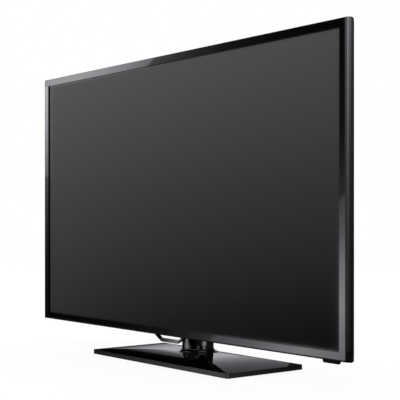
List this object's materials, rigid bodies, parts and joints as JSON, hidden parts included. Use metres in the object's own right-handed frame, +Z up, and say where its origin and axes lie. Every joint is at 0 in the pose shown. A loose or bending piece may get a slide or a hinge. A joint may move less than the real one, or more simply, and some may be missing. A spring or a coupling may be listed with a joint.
{
  "type": "flat screen television",
  "caption": "Flat screen television with a slim glossy bezel, standing on a round swivelling neck and a hipped rectangular base, with a wall-mount pattern on its back.",
  "frame": {"origin": "middle of the base's footprint, on the floor", "axes": "+Z up, the picture faces -Y, +X to the viewer's right"},
  "size_m": [1.06, 0.206, 0.672],
  "materials": {
    "gloss_black": "polished piano black moulding",
    "matt_black": "fine spark-eroded black moulding",
    "screen_glass": "anti-glare polariser over glass",
    "smoked_lens": "smoked infrared-passing plastic",
    "inner_plastic": "moulded inner plastic",
    "clear_acrylic": "clear acrylic sheet",
    "white_film": "white optical film",
    "amber_film": "copper-clad polyimide film",
    "board_green": "solder-masked circuit board",
    "board_tan": "phenolic circuit board",
    "zinc_steel": "galvanised pressed steel",
    "bright_steel": "zinc-plated fastener steel",
    "black_screw": "blackened screw",
    "fin_aluminium": "extruded aluminium",
    "plated_brass": "plated brass",
    "ferrite_yellow": "taped transformer winding",
    "capacitor_navy": "shrink sleeve",
    "nylon": "natural nylon",
    "foot_rubber": "soft black rubber"
  },
  "bodies": {
    "stand_base": {"base_deck": "gloss_black", "base_weight": "zinc_steel", "base_floor": "matt_black", "base_feet": "foot_rubber", "base_screws": "bright_steel", "bearing_block": "zinc_steel", "thrust_washer": "nylon"},
    "set": {"front_bezel": "gloss_black", "centre_tab": "gloss_black", "neck_cover": "gloss_black", "rear_cover": "matt_black", "mains_inlet": "matt_black", "audio_video_jacks": "matt_black", "network_socket": "matt_black", "display_cell": "screen_glass", "sensor_window": "smoked_lens", "middle_frame": "inner_plastic", "speaker_boxes": "inner_plastic", "speaker_cones": "inner_plastic", "stick_housing": "inner_plastic", "light_guide": "clear_acrylic", "prism_sheet": "clear_acrylic", "diffuser_sheet": "white_film", "reflector_sheet": "white_film", "panel_ribbon": "white_film", "lamp_strip": "white_film", "lamp_chips": "white_film", "driver_films": "amber_film", "sensor_board": "board_green", "source_boards": "board_green", "timing_board": "board_green", "main_board": "board_green", "stick_board": "board_green", "power_board": "board_tan", "chassis": "zinc_steel", "stand_bracket": "zinc_steel", "neck_post": "zinc_steel", "tuner_can": "zinc_steel", "picture_sockets": "zinc_steel", "memory_socket": "zinc_steel", "board_screws": "bright_steel", "wall_inserts": "bright_steel", "swivel_spindle": "bright_steel", "retaining_nut": "bright_steel", "spring_washer": "bright_steel", "cover_screws": "black_screw", "neck_screws": "black_screw", "processor_heatsink": "fin_aluminium", "power_heatsinks": "fin_aluminium", "aerial_socket": "plated_brass", "transformers": "ferrite_yellow", "capacitors": "capacitor_navy"},
    "gimbal": {"stick_gimbal": "bright_steel"},
    "stick": {"control_stick": "inner_plastic"},
    "cap": {"stick_cap": "matt_black"}
  },
  "joints": [
    {"name": "swivel", "type": "hinge", "parent": "stand_base", "child": "set", "pos_m": [0, 0.016, 0.02], "axis": [0, 0, 1], "range_deg": [-20, 20]},
    {"name": "stick_up_down", "type": "hinge", "parent": "set", "child": "gimbal", "pos_m": [0.452, -0.0475, 0.131], "axis": [1, 0, 0], "range_deg": [-8, 8], "stiffness_Nm_per_rad": 0.12},
    {"name": "stick_left_right", "type": "hinge", "parent": "gimbal", "child": "stick", "pos_m": [0.452, -0.0475, 0.131], "axis": [0, 0, 1], "range_deg": [-8, 8], "stiffness_Nm_per_rad": 0.12},
    {"name": "stick_press", "type": "slide", "parent": "stick", "child": "cap", "axis": [0, -1, 0], "range_m": [0, 0.0008], "stiffness_N_per_m": 2000}
  ]
}
